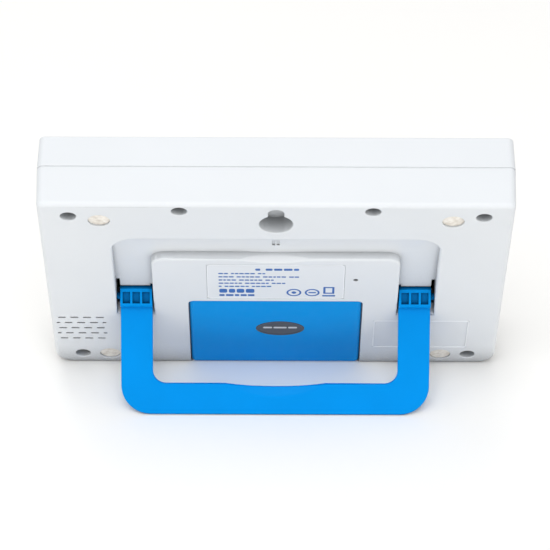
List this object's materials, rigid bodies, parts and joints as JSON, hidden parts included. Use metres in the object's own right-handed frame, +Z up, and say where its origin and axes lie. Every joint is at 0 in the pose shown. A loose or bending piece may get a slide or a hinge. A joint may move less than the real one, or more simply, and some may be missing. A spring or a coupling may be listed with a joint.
{
  "type": "digital display monitor",
  "caption": "Slim white wall and bench display monitor with blue fold-out handle stand, battery door, rear magnets, keyhole, window and keys.",
  "frame": {"origin": "on the floor, under the middle of the object's box, as it stands on its open handle", "axes": "+Z up, -Y towards the person reading the display, +X to that person's right"},
  "size_m": [0.1906, 0.09, 0.1339],
  "materials": {
    "white_shell": "fine satin moulded plastic",
    "blue_plastic": "fine satin moulded plastic",
    "clear_window": "clear, polished",
    "lcd_glass": "reflective grey-green, satin",
    "grey_plastic": "satin",
    "elastomer": "matt",
    "circuit_board": "satin solder mask",
    "chip_black": "matt",
    "bright_metal": "satin nickel plate",
    "key_grey": "satin",
    "badge_grey": "satin",
    "cell_sleeve": "gloss printed sleeve",
    "magnet_cream": "matt coated",
    "label_film": "clear film with printed marks"
  },
  "bodies": {
    "case": {"rear_case": "white_shell", "front_case": "white_shell", "display_window": "clear_window", "lcd_panel": "lcd_glass", "lcd_holder": "grey_plastic", "lcd_connectors": "elastomer", "main_board": "circuit_board", "board_chips": "chip_black", "radio_module": "bright_metal", "key_switches": "chip_black", "sounder": "chip_black", "power_jack": "chip_black", "reset_switch": "chip_black", "battery_1": "cell_sleeve", "battery_2": "cell_sleeve", "battery_3": "cell_sleeve", "contact_springs": "bright_metal", "contact_plates": "bright_metal", "magnets": "magnet_cream", "case_screws": "bright_metal", "board_screws": "bright_metal", "info_label": "label_film"},
    "handle": {"handle": "blue_plastic"},
    "battery_door": {"battery_door": "blue_plastic", "door_badge": "badge_grey"},
    "key_1": {"key_1": "key_grey"},
    "key_2": {"key_2": "key_grey"},
    "key_3": {"key_3": "key_grey"},
    "key_4": {"key_4": "key_grey"},
    "key_5": {"key_5": "key_grey"},
    "reset_plunger": {"reset_plunger": "grey_plastic"}
  },
  "joints": [
    {"name": "handle_fold", "type": "hinge", "parent": "case", "child": "handle", "pos_m": [0, 0.00431, 0.04853], "axis": [1, 0, 0], "range_deg": [0, 128.9]},
    {"name": "battery_door_swing", "type": "hinge", "parent": "case", "child": "battery_door", "pos_m": [0, 0.00897, 0.04904], "axis": [1, 0, 0], "range_deg": [0, 30]},
    {"name": "key_1_press", "type": "slide", "parent": "case", "child": "key_1", "axis": [0, 0.8873, -0.4613], "range_m": [0, 0.0005], "stiffness_N_per_m": 400, "springref_m": -0.0004},
    {"name": "key_2_press", "type": "slide", "parent": "case", "child": "key_2", "axis": [0, 0.8873, -0.4613], "range_m": [0, 0.0005], "stiffness_N_per_m": 400, "springref_m": -0.0004},
    {"name": "key_3_press", "type": "slide", "parent": "case", "child": "key_3", "axis": [0, 0.8873, -0.4613], "range_m": [0, 0.0005], "stiffness_N_per_m": 400, "springref_m": -0.0004},
    {"name": "key_4_press", "type": "slide", "parent": "case", "child": "key_4", "axis": [0, 0.8873, -0.4613], "range_m": [0, 0.0005], "stiffness_N_per_m": 400, "springref_m": -0.0004},
    {"name": "key_5_press", "type": "slide", "parent": "case", "child": "key_5", "axis": [0, 0.8873, -0.4613], "range_m": [0, 0.0005], "stiffness_N_per_m": 400, "springref_m": -0.0004},
    {"name": "reset_press", "type": "slide", "parent": "case", "child": "reset_plunger", "axis": [0, -0.8873, 0.4613], "range_m": [0, 0.00025], "stiffness_N_per_m": 300, "springref_m": -0.0004}
  ]
}
